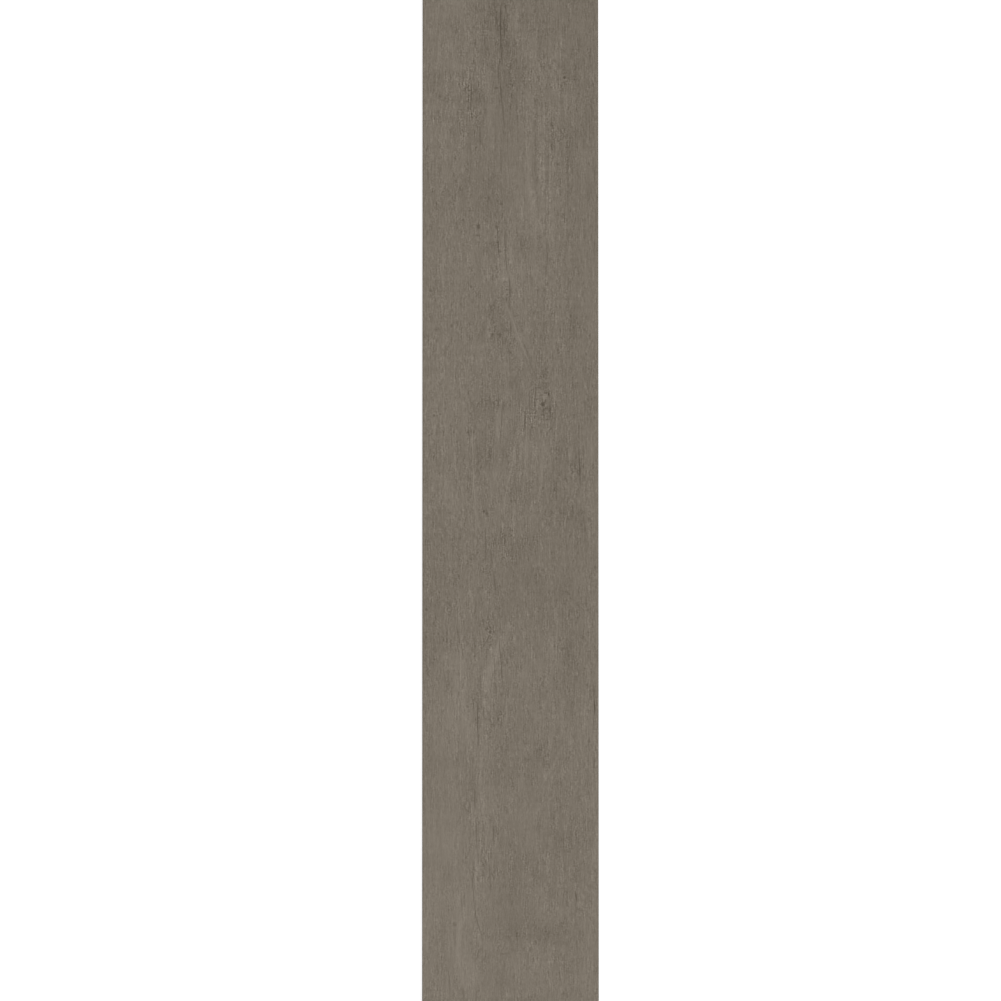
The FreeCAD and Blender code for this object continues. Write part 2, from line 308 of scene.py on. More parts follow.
# Soft patches of tone, each as its levels, the column and the row at its middle, its half sizes across and along in
# pixels and, where it leans, the pixels that it leans across for each pixel down.
PATCHES = [
    # Broad bands along the whole plank.
    (2, 447, 500, 20, 900),
    (-1.5, 499, 500, 12, 900),
    (1, 530, 500, 12, 900),
    (-1.8, 571, 500, 13, 900),
    # Broad clouds, from the far end to the near one.
    (-2.4, 512, 8, 24, 45),
    (1.6, 464, 12, 12, 36),
    (-1.5, 572, 14, 12, 24),
    (-1.6, 594, 60, 10, 50),
    (-1.7, 480, 186, 20, 34),
    (1.6, 540, 224, 14, 22),
    (2, 496, 266, 22, 28),
    (1.4, 512, 330, 14, 40),
    (-1.2, 544, 330, 10, 26),
    (-1.2, 590, 385, 12, 40),
    (1.3, 506, 430, 12, 44),
    (-1.3, 478, 458, 8, 18),
    (-2.4, 528, 565, 18, 60),
    (-1.6, 590, 570, 12, 30),
    (-4, 445, 590, 30, 60),
    (1.4, 441, 585, 12, 24),
    (-1.4, 552, 622, 20, 26),
    (1.3, 490, 660, 16, 30),
    (1.5, 478, 722, 16, 26),
    (1.9, 577, 738, 18, 34),
    (-1.7, 426, 770, 14, 26),
    (-1.4, 530, 768, 18, 24),
    (1.5, 446, 840, 24, 22),
    (1.6, 490, 834, 20, 20),
    (-1.3, 560, 860, 14, 22),
    (1.6, 477, 896, 10, 26),
    (1.4, 426, 890, 8, 44),
    (-1.2, 522, 892, 18, 44),
    (-1.1, 446, 926, 10, 30),
    (-1.2, 540, 955, 14, 22),
    (1.1, 592, 956, 12, 44),
    (-1.1, 500, 990, 14, 14),
    # The smaller ones, in the same order.
    (5, 452, 2, 13, 11),
    (2.5, 427, 24, 7, 14),
    (-4, 578, 2, 14, 8),
    (-3, 595, 12, 5, 14),
    (-4, 500, 30, 9, 34),
    (5, 514, 20, 7, 17),
    (-2, 483, 22, 5, 14),
    (-6, 511, 45, 10, 6),
    (-6, 513, 76, 9, 17),
    (-3, 504, 100, 8, 30, 0.05),
    (-5, 524, 24, 4, 7),
    (-4, 551, 30, 12, 7),
    (-3, 542, 55, 4, 9),
    (4, 534, 64, 5, 22),
    (3, 551, 53, 7, 12),
    (3, 543, 82, 4, 6),
    (-3, 576, 70, 16, 24),
    (-4, 564.5, 73, 4, 11),
    (2, 580, 28, 7, 9),
    (-4, 484, 54, 6, 18),
    (-5, 474, 94, 9, 9),
    (-4, 480, 95, 4, 7),
    (2.5, 493, 92, 4, 9),
    (-4, 478, 126, 5, 24),
    (-3, 432, 80, 12, 8),
    (2, 434, 108, 12, 7),
    (3, 452, 107, 4, 8),
    (3, 446, 58, 14, 18),
    (-3, 459, 123, 8, 11),
    (3, 430, 136, 12, 12),
    (-2, 515, 140, 8, 44),
    (4, 543, 117, 6, 15),
    (2.5, 570, 100, 9, 8),
    (-5, 566, 146, 5, 24),
    (-5, 589, 118, 8, 30),
    (-2.5, 580, 135, 6, 14),
    (4, 584.5, 158, 5, 8),
    (3, 550, 175, 6, 24),
    (-5, 488, 192, 7, 22),
    (-4.5, 481, 207, 6, 13),
    (-3, 498, 190, 7, 18),
    (-3, 468, 210, 6, 12),
    (-4, 458, 190, 14, 9),
    (-3, 455, 204, 6, 20),
    (2, 509, 178, 7, 6),
    (-3, 428, 175, 6, 8),
    (-3, 434, 205, 8, 9),
    (-5, 591, 190, 6, 18),
    (-3, 592, 234, 5, 16),
    (3, 511, 216, 4, 12),
    (3, 546, 226, 6, 16),
    (-5, 524, 247, 6, 10),
    (-4, 542, 252, 5, 8),
    (-4, 494, 246, 4, 10, -0.3),
    (4, 488, 236, 5, 9),
    (4, 507, 258, 9, 24),
    (4, 491, 278, 6, 11),
    (4, 507, 277, 9, 9),
    (3, 530, 271, 16, 7),
    (3, 470, 255, 4, 16),
    (2.5, 432, 247, 8, 18),
    (4, 568, 256, 5, 9),
    (-3, 558, 281, 4, 7),
    (3, 594, 306, 4, 10),
    (2.5, 459, 302, 5, 24),
    (-3, 468, 296, 3, 10),
    (-3, 533, 306, 4, 12),
    (-4, 504, 299, 9, 3.5),
    (-5, 492, 309, 6, 7, -0.4),
    (3, 488, 328, 6, 12),
    (-7, 501, 335, 11, 9),
    (-3, 450, 327, 4, 6),
    (-5, 574, 326, 8, 18),
    (-3, 541, 335, 8, 34),
    (3, 516, 338, 6, 14, 0.4),
    (2.5, 484, 350, 14, 14),
    (3, 490, 370, 4, 7),
    (4, 509, 365, 4, 9),
    (-4, 521, 372, 4, 8),
    (-6, 516, 382, 6, 8),
    (-4, 519, 398, 6, 8),
    (-5, 543, 374, 8, 16),
    (-4, 588, 370, 5, 14),
    (-5, 590, 407, 5, 16),
    (2, 440, 388, 9, 16),
    (2.5, 460, 398, 8, 22),
    (-4, 484, 405, 18, 9),
    (4, 503, 397, 6, 5),
    (3, 546, 397, 5, 5),
    (3, 508, 414, 10, 8),
    (5, 501, 425, 6, 15),
    (-6, 546, 409, 8, 10),
    (-3, 551, 414, 5, 8),
    (3, 564, 408, 5, 6),
    (2.5, 572, 424, 8, 8),
    (-3, 536, 431, 6, 8),
    (-3, 475, 430, 4, 8),
    (-3, 430, 433, 4, 6),
    (-3, 447, 464, 7, 9),
    (-3.5, 471, 462, 5, 18, 0.35),
    (-7, 483, 456, 9, 13),
    (-4, 507, 444, 4, 8, -0.3),
    (5, 497, 466, 5, 24),
    (4, 497, 474, 6, 8),
    (4, 484, 485, 4, 6),
    (5, 526, 450, 10, 14, -0.2),
    (3, 545, 452, 6, 14),
    (-3, 558, 446, 4, 10),
    (-5, 578, 466, 5, 12),
    (-3, 574, 471, 4, 6),
    (4, 592, 448, 4, 12),
    (2, 590, 500, 5, 30),
    (2.5, 576, 500, 9, 8),
    (3, 450, 496, 9, 16, 0.4),
    (3, 460, 508, 5, 8),
    (-4, 426, 477, 4, 10),
    (-3, 531, 482, 8, 7),
    (-6, 524, 500, 9, 9),
    (-3, 510, 492, 6, 8),
    (2, 498, 512, 5, 20),
    (-4.5, 543, 514, 4, 20),
    (-4, 556, 490, 7, 20),
    (-6, 573, 514, 11, 8),
    (-5, 581, 532, 5, 16),
    (2.5, 587, 536, 4, 10),
    (-5, 483, 511, 4, 8),
    (-3, 433, 524, 9, 8),
    (-3, 427, 540, 6, 8),
    (-3, 445, 541, 9, 13),
    (3, 484, 547, 4, 8),
    (2.5, 474, 546, 5, 7),
    (-6, 502, 543, 5, 11),
    (-4, 490, 545, 6, 12),
    (-6, 527, 547, 12, 11, -0.3),
    (3, 544, 552, 6, 9),
    (-4, 488, 570, 6, 10),
    (-4, 513, 572, 8, 18),
    (-4, 531, 580, 9, 12),
    (3, 577, 574, 4, 8),
    (-5, 541, 592, 9, 12),
    (-6, 563, 590, 7, 14),
    (-3, 588, 595, 8, 7),
    (-5, 566, 615, 7, 6),
    (-4, 538, 614, 6, 9),
    (-4, 545, 627, 4, 10),
    (-3, 453, 603, 5, 20),
    (-3, 430, 600, 10, 40),
    (3, 469, 592, 4, 12),
    (-3, 468, 633, 4, 12),
    (-4, 444, 640, 12, 8),
    (-3.5, 486, 624, 6, 8),
    (-4, 476, 650, 7, 6),
    (3, 455, 664, 14, 10),
    (4, 501, 646, 7, 16, -0.5),
    (3, 495, 668, 4, 9),
    (3, 553, 650, 6, 20),
    (-5, 568, 657, 5, 20),
    (-3, 594, 654, 5, 9),
    (-4, 519, 666, 5, 6),
    (-4, 564, 684, 6, 12),
    (-3.5, 576, 674, 3, 8),
    (3, 522, 676, 9, 6),
    (-4, 511, 652, 4, 10, -0.5),
    (-4, 540, 692, 5, 7),
    (-2.5, 536, 702, 5, 8),
    (3, 555, 706, 4, 16),
    (-3, 590, 690, 6, 8),
    (-5, 472, 701, 4, 10),
    (3, 479, 678, 4, 12),
    (-4, 430, 668, 10, 16),
    (-3, 447, 684, 8, 10),
    (-3.5, 454, 702, 3, 14),
    (4, 452, 706, 14, 38),
    (-4, 498, 718, 4, 12),
    (3, 526, 710, 8, 8),
    (-3, 531, 727, 6, 5),
    (3, 586, 720, 7, 14),
    (3, 473, 742, 5, 12),
    (4, 490, 750, 7, 7),
    (3, 503, 736, 3, 8),
    (-4, 509, 744, 7, 11),
    (-4, 541, 757, 10, 10, -1.0),
    (-3, 545, 744, 6, 10),
    (-2.5, 567, 756, 6, 10),
    (3, 576, 764, 4, 14),
    (-3, 427, 752, 6, 14),
    (-3, 438, 766, 12, 8),
    (-3.5, 460, 758, 4, 10),
    (4, 520.4, 784, 4, 7),
    (-3.5, 511, 780, 5, 14),
    (-3.5, 534, 779, 6, 12),
    (-3, 560, 785, 6, 6),
    (-2.5, 587, 780, 5, 14),
    (3, 573, 806, 4, 16),
    (4, 485, 800, 8, 22),
    (-4, 481, 791, 3, 8),
    (-6, 470.5, 790, 4, 9),
    (2.5, 454, 790, 4, 12),
    (3, 507, 800, 6, 9),
    (3, 592, 800, 4, 14),
    (-4, 588, 830, 6, 16),
    (-6, 537.6, 826, 5, 7),
    (-4, 551, 828, 4, 15),
    (3, 452, 840, 16, 20),
    (-3, 449, 832, 4, 12),
    (-3.5, 468, 842, 4, 16),
    (3, 474, 818, 3, 14),
    (2.5, 484, 836, 8, 8),
    (-5, 563, 842, 14, 10),
    (-3, 573, 862, 5, 10),
    (4, 593.6, 856, 4, 18),
    (-2, 520, 830, 24, 8),
    (-6, 523, 860, 17, 16),
    (-4, 513, 878, 7, 14),
    (-4, 539, 878, 6, 16),
    (-4, 514, 896, 9, 14),
    (-4.5, 448, 876, 7, 11),
    (-3, 449, 906, 5, 10),
    (3, 460, 900, 12, 34),
    (2, 436, 900, 10, 34),
    (-3.5, 484, 870, 4, 12),
    (4.5, 475, 896, 4, 16),
    (2.5, 467, 914, 5, 16),
    (4, 425, 935, 5, 34),
    (-3.5, 581, 876, 5, 8),
    (-2.5, 588, 896, 7, 8),
    (3, 556, 912, 12, 7),
    (-5, 546, 934, 16, 9),
    (-5, 534, 924, 8, 16),
    (-6, 514, 930, 10, 14),
    (-3, 576, 938, 9, 12),
    (2, 586, 930, 4, 8),
    (-3, 442, 936, 8, 10),
    (5, 463, 962, 11, 26),
    (-5, 459, 976, 4, 20),
    (3, 489, 947, 6, 6),
    (-4, 483, 963, 4, 12),
    (4, 472, 986, 6, 20),
    (3, 516, 968, 8, 14),
    (3, 546, 966, 8, 18),
    (-3, 558, 965, 4, 14),
    (-3, 572, 968, 6, 10),
    (-2, 442, 966, 7, 12),
    (2, 583, 978, 8, 18),
    (-2.5, 594, 968, 4, 12),
    (-3, 502, 985, 5, 9),
    (-4, 534, 1000, 9, 8),
    (-3, 430, 998, 8, 8),
]

# How busy the fine grain is: the share by which each place is busier or calmer, laid out as the patches are.
BUSY_PLACES = [
    (0.35, 466, 95, 16, 36),
    (0.3, 548, 135, 14, 48),
    (0.2, 534, 70, 14, 22),
    (0.4, 503, 262, 10, 30),
    (0.25, 505, 345, 14, 28),
    (0.5, 540, 405, 16, 20),
    (0.4, 524, 424, 10, 16),
    (0.3, 496, 412, 10, 20),
    (0.25, 513, 475, 14, 30),
    (0.25, 485, 560, 10, 30),
    (0.5, 505, 540, 8, 18),
    (0.4, 494, 648, 14, 28),
    (0.35, 488, 715, 14, 30),
    (0.2, 478, 850, 10, 60),
    (-0.25, 575, 22, 28, 30),
    (-0.35, 586, 230, 12, 150),
    (-0.4, 494, 118, 12, 30),
    (-0.4, 512, 160, 14, 44),
    (-0.3, 530, 190, 7, 40),
    (-0.25, 478, 180, 14, 34),
    (-0.25, 434, 36, 18, 22),
    (-0.35, 514, 386, 9, 12),
    (-0.3, 590, 440, 10, 30),
    (-0.3, 497, 482, 7, 22),
    (-0.3, 522, 586, 24, 24),
    (-0.25, 572, 566, 24, 36),
    (-0.35, 467, 728, 7, 20),
    (-0.3, 436, 760, 16, 24),
    (-0.45, 440, 836, 20, 50),
    (-0.35, 530, 822, 16, 28),
    (-0.35, 504, 910, 22, 18),
    (-0.4, 458, 945, 8, 34),
    (-0.35, 496, 980, 14, 18),
    (-0.25, 588, 950, 14, 26),
]

# Where the plank was cut from its log: for some rows of the photograph, the column over the heart of the log and
# how deep the heart lies below the face, in millimetres. Arches open where the depth shrinks.
HEART = [
    (-60, 500, 84),
    (150, 501, 72),
    (300, 503, 56),
    (400, 513, 38),
    (440, 512, 42),
    (560, 505, 66),
    (620, 514, 60),
    (700, 516, 42),
    (770, 515, 38),
    (860, 515, 52),
    (1060, 510, 66),
]

# Knots that the fibres run round: the pixel, how far the fibres give way in millimetres, and over what length.
KNOTS = [
    ((545, 408), 4.0, 16.0),
    ((541, 250), 2.5, 14.0),
    ((500, 334), 2.5, 14.0),
    ((564.4, 77.4), 1.5, 6.0),
    ((484, 511), 1.5, 8.0),
    ((488, 632), 2.0, 10.0),
]


def lattice_noise(u, v, cell_u, cell_v, seed):
    """Smooth noise of unit spread over a random lattice whose cells are that wide and that long."""
    a = (u - u.min()) / cell_u
    b = (v - v.min()) / cell_v
    i = np.floor(a).astype(int)
    j = np.floor(b).astype(int)
    lattice = np.random.default_rng(seed).normal(size=(j.max() + 2, i.max() + 2))
    fade_a = (a - i) ** 2 * (3 - 2 * (a - i))
    fade_b = (b - j) ** 2 * (3 - 2 * (b - j))
    near = lattice[j, i] * (1 - fade_a) + lattice[j, i + 1] * fade_a
    far = lattice[j + 1, i] * (1 - fade_a) + lattice[j + 1, i + 1] * fade_a
    return (near * (1 - fade_b) + far * fade_b) / 0.7


def eased(rows, points):
    """A value for each row, eased from one point (row, value) to the next."""
    place = np.array([p[0] for p in points], float)
    value = np.array([p[1] for p in points], float)
    order = np.clip(np.searchsorted(place, rows) - 1, 0, len(points) - 2)
    share = np.clip((rows - place[order]) / (place[order + 1] - place[order]), 0, 1)
    share = share * share * (3 - 2 * share)
    return value[order] + (value[order + 1] - value[order]) * share


def grain_fields(x, y):
    """The fibre coordinate, which runs across the grain, and the ring coordinate, both in millimetres."""
    fibre = x + 2.5 * lattice_noise(x, y, 70, 330, 11) + 0.7 * lattice_noise(x, y, 22, 90, 12)
    for place, give, reach in KNOTS:
        aside = fibre - across(place[0])
        near = np.exp(-(((y - along(place[1])) / reach) ** 2) - (aside / reach) ** 2)
        fibre = fibre - give * near * aside / (np.abs(aside) + give)
    row = PHOTO_MIDDLE - y / MM_PER_PX
    heart = across(eased(row, [(r, column) for r, column, _ in HEART]))
    depth = eased(row, [(r, deep) for r, _, deep in HEART])
    depth = depth + 1.6 * lattice_noise(x, y, 45, 60, 13)
    ring = np.hypot(fibre - heart, depth)
    return fibre, ring


def add_patches(field, x, y, patches):
    """Adds soft patches to a field: each is whole at its middle and fades over its half sizes."""
    for amount, column, row, half_across, half_along, *leans in patches:
        down = (along(row) - y) / MM_PER_PX
        aside = (x - across(column)) / MM_PER_PX - sum(leans) * down
        field += amount * np.exp(-((aside / half_across) ** 2) - (down / half_along) ** 2)
    return field


def tone_field(x, y):
    """The levels that the soft patches add."""
    return add_patches(-END_TONE * y / HALF_LENGTH, x, y, PATCHES)


def busy_field(x, y):
    """How strong the fine grain is, where 1 is usual."""
    return np.clip(add_patches(np.ones(x.shape), x, y, BUSY_PLACES), 0.3, 1.8)


# How far from its middle a line or a spot is followed in its channel, and how long a line's end takes to fade. The
# reach and the fade of a wide line are as many times its half width.
PICTURE_BLUR = 0.45
LINE_REACH = 3.6
LINE_FADE = 7.0
WIDE_REACH = 2.2
WIDE_FADE = 7.0
SPOT_REACH = 9.0


def sort_into_channels(reaches):
    """Gives each (low x, high x, low y, high y) the first channel in which it meets nothing else."""
    channels = []
    chosen = []
    for box in reaches:
        for number, taken in enumerate(channels):
            if all(box[0] > b[1] or box[1] < b[0] or box[2] > b[3] or box[3] < b[2] for b in taken):
                break
        else:
            number = len(channels)
            channels.append([])
        channels[number].append(box)
        chosen.append(number)
    return chosen, len(channels)


def unblurred(levels, half_width):
    """A line's own levels and half width, from those seen, because a picture's blur widens a line and pales it."""
    sharp = math.sqrt(half_width**2 - PICTURE_BLUR**2)
    return levels * half_width / sharp, sharp


def line_channels(x, y, row_step):
    """For each channel: how far each point is aside of its line, the line's levels and its half width."""
    lines = []
    boxes = []
    for seen_levels, seen_width, pixels in LINES:
        levels, width = unblurred(seen_levels, seen_width)
        points = sorted((along(row), across(column)) for column, row in pixels)
        rows = np.array([p[0] for p in points])
        columns = np.array([p[1] for p in points])
        reach = max(LINE_REACH, WIDE_REACH * width)
        fade = max(LINE_FADE, WIDE_FADE * width)
        lines.append((levels, width, rows, columns, reach, fade))
        margin = (reach + 1.0, fade + row_step)
        boxes.append(
            (columns.min() - margin[0], columns.max() + margin[0], rows.min() - margin[1], rows.max() + margin[1])
        )
    chosen, count = sort_into_channels(boxes)
    channels = [np.zeros(x.shape + (3,)) for _ in range(count)]
    for channel in channels:
        channel[..., 0] = LINE_REACH
        channel[..., 2] = 1.0
    for (levels, width, rows, columns, reach, fade), number, box in zip(lines, chosen, boxes):
        inside = (x > box[0]) & (x < box[1]) & (y > box[2]) & (y < box[3])
        aside = np.clip(x[inside] - np.interp(y[inside], rows, columns), -reach, reach)
        beyond = np.maximum(rows.min() - y[inside], y[inside] - rows.max())
        strength = np.clip(0.5 - beyond / fade, 0, 1) * np.clip(reach - np.abs(aside), 0, 1)
        channels[number][inside, 0] = aside
        channels[number][inside, 1] = levels * strength
        channels[number][inside, 2] = width
    return channels


def spot_channels(x, y):
    """For each channel: where each point lies beside its spot, in the spot's half sizes, and its levels."""
    reaches = []
    for _, (column, row), _, _ in SPOTS:
        cx, cy = across(column), along(row)
        reaches.append((cx - SPOT_REACH, cx + SPOT_REACH, cy - SPOT_REACH, cy + SPOT_REACH))
    chosen, count = sort_into_channels(reaches)
    places = [np.zeros(x.shape + (3,)) for _ in range(count)]
    rings = [np.zeros(x.shape) for _ in range(count)]
    for place in places:
        place[..., 0] = SPOT_REACH
    for (levels, (column, row), half, ring), number, reach in zip(SPOTS, chosen, reaches):
        inside = (x > reach[0]) & (x < reach[1]) & (y > reach[2]) & (y < reach[3])
        places[number][inside, 0] = (x[inside] - across(column)) / half[0]
        places[number][inside, 1] = (y[inside] - along(row)) / half[1]
        places[number][inside, 2] = levels
        rings[number][inside] = ring
    return places, rings


def relief_depth(x, y, fibre, ring, lines, spots):
    """How deep the face lies below its highest plane, in millimetres."""
    fibres = 0.5 * lattice_noise(fibre, y, 2.2, 34, 21) + 0.5 * lattice_noise(fibre, y, 4.5, 90, 22)
    rings = lattice_noise(ring, y, 3.4, 260, 23)
    swell = lattice_noise(x, y, 38, 120, 24)
    depth = 0.13 + 0.035 * fibres + 0.03 * rings + 0.02 * swell
    for channel in lines:
        aside, levels, width = channel[..., 0], channel[..., 1], channel[..., 2]
        depth += -levels * 0.008 * np.exp(-((aside / (width + 0.65)) ** 2))
    for place in spots:
        far = np.hypot(place[..., 0], place[..., 1])
        depth += -place[..., 2] * 0.008 * np.exp(-((far / 1.4) ** 2))
    return np.clip(depth, 0.0, 0.5)


def face_grid(arris):
    """The face's grid, in millimetres: x, y and z of each point, and the fields that its print reads."""
    edge_x = HALF_WIDTH - arris
    edge_y = HALF_LENGTH - arris
    columns = np.linspace(-edge_x, edge_x, CELLS_ACROSS + 1)
    rows = np.linspace(-edge_y, edge_y, CELLS_ALONG + 1)
    x, y = np.meshgrid(columns, rows)
    fibre, ring = grain_fields(x, y)
    lines = line_channels(x, y, rows[1] - rows[0])
    spots, spot_rings = spot_channels(x, y)
    depth = relief_depth(x, y, fibre, ring, lines, spots)
    fields = {"grain": np.stack([fibre, ring, depth], -1), "tone": tone_field(x, y), "busy": busy_field(x, y)}
    for number, channel in enumerate(lines):
        fields[f"line_{number}"] = channel
    for number, (channel, spot_ring) in enumerate(zip(spots, spot_rings)):
        fields[f"spot_{number}"] = channel
        fields[f"spot_ring_{number}"] = spot_ring
    # The bevel is ground across the relief, so a hollow at the rim moves the bevel's inner edge outwards.
    x[:, 0] -= depth[:, 0]
    x[:, -1] += depth[:, -1]
    y[0, :] -= depth[0, :]
    y[-1, :] += depth[-1, :]
    return x, y, THICKNESS - depth, fields


def rim_of_grid(shape):
    """The grid's outer points in order, anticlockwise from its low corner, and which side each run lies on."""
    last_row, last_column = shape[0] - 1, shape[1] - 1
    number = np.arange(shape[0] * shape[1]).reshape(shape)
    return [
        number[0, :],
        number[:, last_column],
        number[last_row, ::-1],
        number[::-1, 0],
    ]


def read_back():
    """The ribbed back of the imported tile: its points in millimetres and its faces."""
    bm = bmesh.new()
    bm.from_mesh(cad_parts[NODE].data)
    bmesh.ops.remove_doubles(bm, verts=bm.verts, dist=1e-6)
    half_way = (low.z + high.z) / 2
    rest = [f for f in bm.faces if max(v.co.z for v in f.verts) > half_way]
    levels = sorted({round(v.co.z / MM, 3) for f in rest for v in f.verts})
    bmesh.ops.delete(bm, geom=rest, context="FACES")
    bm.verts.index_update()
    points = [tuple(v.co / MM) for v in bm.verts]
    faces = [[v.index for v in f.verts] for f in bm.faces]
    bm.free()
    return points, faces, levels


def make_tile():
    """The whole tile as one closed mesh, with its relief, its bevel, its ground edges and its ribbed back."""
    back_points, back_faces, levels = read_back()
    arris = levels[-1] - levels[-2]
    x, y, z, fields = face_grid(arris)
    count = x.size
    points = np.stack([x.ravel(), y.ravel(), z.ravel()], -1)
    sides = rim_of_grid(x.shape)
    loop = np.concatenate([side[:-1] for side in sides])
    rim = points[loop].copy()
    corner_x = np.abs(x.ravel()[loop]) > HALF_WIDTH - arris - 1e-6
    corner_y = np.abs(y.ravel()[loop]) > HALF_LENGTH - arris - 1e-6
    rim[corner_x, 0] = np.sign(rim[corner_x, 0]) * HALF_WIDTH
    rim[corner_y, 1] = np.sign(rim[corner_y, 1]) * HALF_LENGTH
    rim[:, 2] = THICKNESS - arris
    below = {loop[i]: count + i for i in range(len(loop))}
    base = count + len(loop)
    number = np.arange(count).reshape(x.shape)
    cells = np.stack([number[:-1, :-1], number[:-1, 1:], number[1:, 1:], number[1:, :-1]], -1).reshape(-1, 4)
    faces = cells.tolist()
    zones = ["face"] * len(faces)
    corners = {}
    for index, point in enumerate(back_points):
        if abs(point[2]) < 1e-6 and abs(abs(point[0]) - HALF_WIDTH) < 1e-3 and abs(abs(point[1]) - HALF_LENGTH) < 1e-3:
            corners[(point[0] > 0, point[1] > 0)] = base + index
    ends = [(False, False), (True, False), (True, True), (False, True)]
    for side, start, finish, zone in zip(sides, ends, ends[1:] + ends[:1], ("end", "edge", "end", "edge")):
        lower = [below[i] for i in side]
        for first, second, first_low, second_low in zip(side, side[1:], lower, lower[1:]):
            faces.append([first_low, second_low, int(second), int(first)])
            zones.append("arris")
        faces.append([corners[start], corners[finish]] + lower[::-1])
        zones.append(zone)
    for face in back_faces:
        faces.append([base + i for i in face])
        zones.append("back")
    every = np.concatenate([points, rim, np.array(back_points)]) * MM
    mesh = bpy.data.meshes.new("plank")
    mesh.from_pydata(every.tolist(), [], faces)
    add_fields(mesh, fields, count)
    add_map(mesh, zones)
    zone_of = np.array(zones)
    mesh.polygons.foreach_set("material_index", (zone_of != "face").astype(np.int32))
    mesh.polygons.foreach_set("use_smooth", zone_of == "face")
    mesh.validate()
    mesh.update()
    tile = bpy.data.objects.new("plank", mesh)
    bpy.context.scene.collection.objects.link(tile)
    return tile


def add_fields(mesh, fields, count):
    """Stores each field on the face's points, which come first in the mesh, and nothing on the others."""
    for name, values in fields.items():
        flat = values.reshape(count, -1)
        kind = "FLOAT_VECTOR" if flat.shape[1] == 3 else "FLOAT"
        whole = np.zeros((len(mesh.vertices), flat.shape[1]), np.float32)
        whole[:count] = flat
        attribute = mesh.attributes.new(name, kind, "POINT")
        attribute.data.foreach_set("vector" if kind == "FLOAT_VECTOR" else "value", whole.ravel())


# The parts of the map that each zone of the mesh takes, as (left, right, bottom, top).
MAP_PLACES = {
    "face": (0.004, 0.756, 0.004, 0.996),
    "back": (0.768, 0.948, 0.060, 0.996),
    "end": (0.768, 0.948, 0.004, 0.052),
    "edge": (0.958, 0.996, 0.004, 0.996),
}


def add_map(mesh, zones):
    """A map in which the face has most of the room, laid out as the tile's own plan and its edges beside it."""
    loops = len(mesh.loops)
    vertex = np.empty(loops, np.int32)
    mesh.loops.foreach_get("vertex_index", vertex)
    place = np.empty(len(mesh.vertices) * 3, np.float32)
    mesh.vertices.foreach_get("co", place)
    place = place.reshape(-1, 3)[vertex] / MM
    total = np.empty(len(mesh.polygons), np.int32)
    mesh.polygons.foreach_get("loop_total", total)
    zone = np.repeat(np.array(zones), total)
    across_share = (place[:, 0] + HALF_WIDTH) / (2 * HALF_WIDTH)
    along_share = (place[:, 1] + HALF_LENGTH) / (2 * HALF_LENGTH)
    up_share = place[:, 2] / THICKNESS
    # The two edges share a strip of the map, one beside the other, and so do the two ends.
    second_edge = (place[:, 0] > 0).astype(float)
    second_end = (place[:, 1] > 0).astype(float)
    shares = {
        "face": (across_share, along_share),
        "arris": (across_share, along_share),
        "back": (across_share, along_share),
        "edge": ((second_edge + 0.9 * up_share) / 2, along_share),
        "end": (across_share, (second_end + 0.9 * up_share) / 2),
    }
    uv = np.zeros((loops, 2), np.float32)
    for name, (u, v) in shares.items():
        left, right, bottom, top = MAP_PLACES["face" if name == "arris" else name]
        here = zone == name
        uv[here, 0] = left + (right - left) * u[here]
        uv[here, 1] = bottom + (top - bottom) * v[here]
    layer = mesh.uv_layers.new(name="OFBake")
    layer.uv.foreach_set("vector", uv.ravel())


